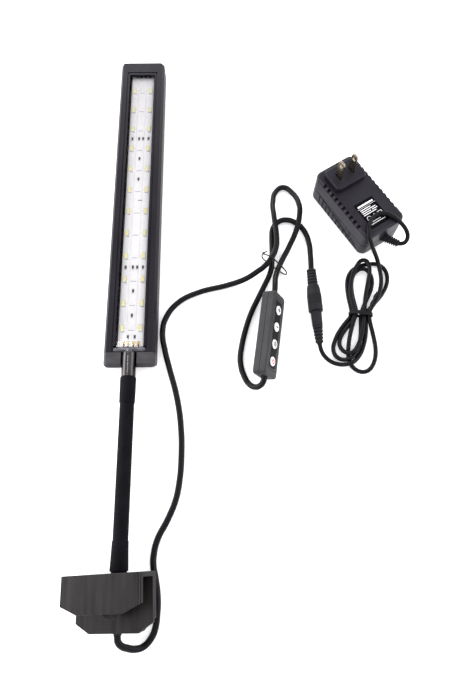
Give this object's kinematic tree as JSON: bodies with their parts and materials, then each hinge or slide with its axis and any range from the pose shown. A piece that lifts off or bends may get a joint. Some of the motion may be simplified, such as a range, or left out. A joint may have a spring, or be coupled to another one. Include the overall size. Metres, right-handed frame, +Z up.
{
  "type": "led aquarium light",
  "caption": "Slim LED lamp head on a gooseneck with a screw clamp for a tank rim, an in-line push-button controller and a plug-in adapter.",
  "frame": {"origin": "on the surface it lies on, under the centre of the lamp head's flat back", "axes": "+Y along the lamp head, away from the clamp; +Z up, out of the head's lit face; +X to the right"},
  "size_m": [0.2582, 0.4863, 0.0501],
  "materials": {
    "head_plastic": "fine-textured black ABS with a soft sheen",
    "clamp_plastic": "brushed-looking black plastic",
    "controller_plastic": "dark grey fine-textured plastic",
    "adapter_plastic": "black moulded plastic, semi-gloss",
    "overlay_film": "black printed film",
    "button_white": "white moulded button",
    "rubber": "matt black rubber",
    "sleeve": "matt black flexible sleeve",
    "cord_jacket": "satin black PVC cord",
    "gunmetal": "polished dark steel tube",
    "steel": "zinc-plated steel",
    "nickel": "nickel-plated brass",
    "circuit_white": "white solder mask with LEDs and resistors",
    "circuit_green": "green circuit board",
    "lens": "clear acrylic cover"
  },
  "bodies": {
    "base": {"lamp_cord": "cord_jacket", "controller_cord": "cord_jacket", "plug_cord": "cord_jacket", "adapter_cord": "cord_jacket", "adapter_cord_hank": "cord_jacket", "lower_collar": "rubber", "clamp_front_pad": "rubber", "clamp_cord_grommet": "rubber", "controller_grommet_top": "rubber", "controller_grommet_bottom": "rubber", "dc_jack_relief": "rubber", "dc_plug_relief": "rubber", "adapter_relief": "rubber", "twist_tie": "rubber", "hank_tie": "rubber", "dc_jack_body": "rubber", "dc_plug_body": "rubber", "gooseneck_base": "sleeve", "clamp_front_plate": "clamp_plastic", "clamp_bracket": "clamp_plastic", "clamp_rear_housing": "clamp_plastic", "clamp_screw_1": "steel", "clamp_screw_2": "steel", "controller_base": "controller_plastic", "controller_cover": "controller_plastic", "controller_overlay": "overlay_film", "adapter_label": "overlay_film", "controller_board": "circuit_green", "adapter_board": "circuit_green", "dc_jack_pin": "nickel", "dc_plug_barrel": "nickel", "adapter_blade_left": "nickel", "adapter_blade_right": "nickel", "adapter_base": "adapter_plastic", "adapter_cover": "adapter_plastic", "adapter_plug_block": "adapter_plastic"},
    "neck": {"hinge_crossbar": "gunmetal", "neck_tube": "gunmetal", "upper_collar": "rubber", "gooseneck_tip": "sleeve"},
    "head": {"head_housing": "head_plastic", "head_bezel": "head_plastic", "head_end_cap": "head_plastic", "clear_lens": "lens", "led_board": "circuit_white", "board_leads": "cord_jacket"},
    "pad": {"pressure_pad": "rubber"},
    "screw": {"thumb_screw": "clamp_plastic"},
    "gooseneck_1": {"gooseneck_link_1": "sleeve"},
    "gooseneck_2": {"gooseneck_link_2": "sleeve"},
    "gooseneck_3": {"gooseneck_link_3": "sleeve"},
    "gooseneck_4": {"gooseneck_link_4": "sleeve"},
    "gooseneck_5": {"gooseneck_link_5": "sleeve"},
    "button_1": {"controller_button_1": "button_white"},
    "button_2": {"controller_button_2": "button_white"},
    "button_3": {"controller_button_3": "button_white"},
    "button_4": {"controller_button_4": "button_white"}
  },
  "joints": [
    {"name": "bend_left_1", "type": "hinge", "parent": "base", "child": "gooseneck_5", "pos_m": [0, -0.268, 0.0135], "axis": [0.9063, 0, 0.4226], "range_deg": [0, 20]},
    {"name": "bend_right_1", "type": "hinge", "parent": "gooseneck_5", "child": "gooseneck_4", "pos_m": [0, -0.2504, 0.0135], "axis": [0.9063, 0, -0.4226], "range_deg": [0, 20]},
    {"name": "bend_left_2", "type": "hinge", "parent": "gooseneck_4", "child": "gooseneck_3", "pos_m": [0, -0.2328, 0.0135], "axis": [0.9063, 0, 0.4226], "range_deg": [0, 20]},
    {"name": "bend_right_2", "type": "hinge", "parent": "gooseneck_3", "child": "gooseneck_2", "pos_m": [0, -0.2152, 0.0135], "axis": [0.9063, 0, -0.4226], "range_deg": [0, 20]},
    {"name": "bend_left_3", "type": "hinge", "parent": "gooseneck_2", "child": "gooseneck_1", "pos_m": [0, -0.1976, 0.0135], "axis": [0.9063, 0, 0.4226], "range_deg": [0, 20]},
    {"name": "bend_right_3", "type": "hinge", "parent": "gooseneck_1", "child": "neck", "pos_m": [0, -0.18, 0.0135], "axis": [0.9063, 0, -0.4226], "range_deg": [0, 20]},
    {"name": "head_tilt", "type": "hinge", "parent": "neck", "child": "head", "pos_m": [0, -0.1331, 0.0135], "axis": [1, 0, 0], "range_deg": [0, 75]},
    {"name": "pressure_pad_slide", "type": "slide", "parent": "base", "child": "pad", "axis": [-0.3771, 0.0483, 0.9249], "range_m": [-0.0064, 0]},
    {"name": "thumb_screw_turn", "type": "hinge", "parent": "pad", "child": "screw", "pos_m": [0.00907, -0.31122, 0.00798], "axis": [-0.3771, 0.0483, 0.9249], "range_deg": [-2880, 0]},
    {"name": "button_1_press", "type": "slide", "parent": "base", "child": "button_1", "axis": [-0.865, 0.1293, -0.4848], "range_m": [0, 0.0005], "stiffness_N_per_m": 1500},
    {"name": "button_2_press", "type": "slide", "parent": "base", "child": "button_2", "axis": [-0.865, 0.1293, -0.4848], "range_m": [0, 0.0005], "stiffness_N_per_m": 1500},
    {"name": "button_3_press", "type": "slide", "parent": "base", "child": "button_3", "axis": [-0.865, 0.1293, -0.4848], "range_m": [0, 0.0005], "stiffness_N_per_m": 1500},
    {"name": "button_4_press", "type": "slide", "parent": "base", "child": "button_4", "axis": [-0.865, 0.1293, -0.4848], "range_m": [0, 0.0005], "stiffness_N_per_m": 1500}
  ],
  "couplings": [
    {"joint": "bend_left_2", "follows": "bend_left_1", "ratio": 1},
    {"joint": "bend_right_2", "follows": "bend_right_1", "ratio": 1},
    {"joint": "bend_left_3", "follows": "bend_left_1", "ratio": 1},
    {"joint": "bend_right_3", "follows": "bend_right_1", "ratio": 1},
    {"joint": "thumb_screw_turn", "follows": "pressure_pad_slide", "rad_per_m": 7854}
  ]
}
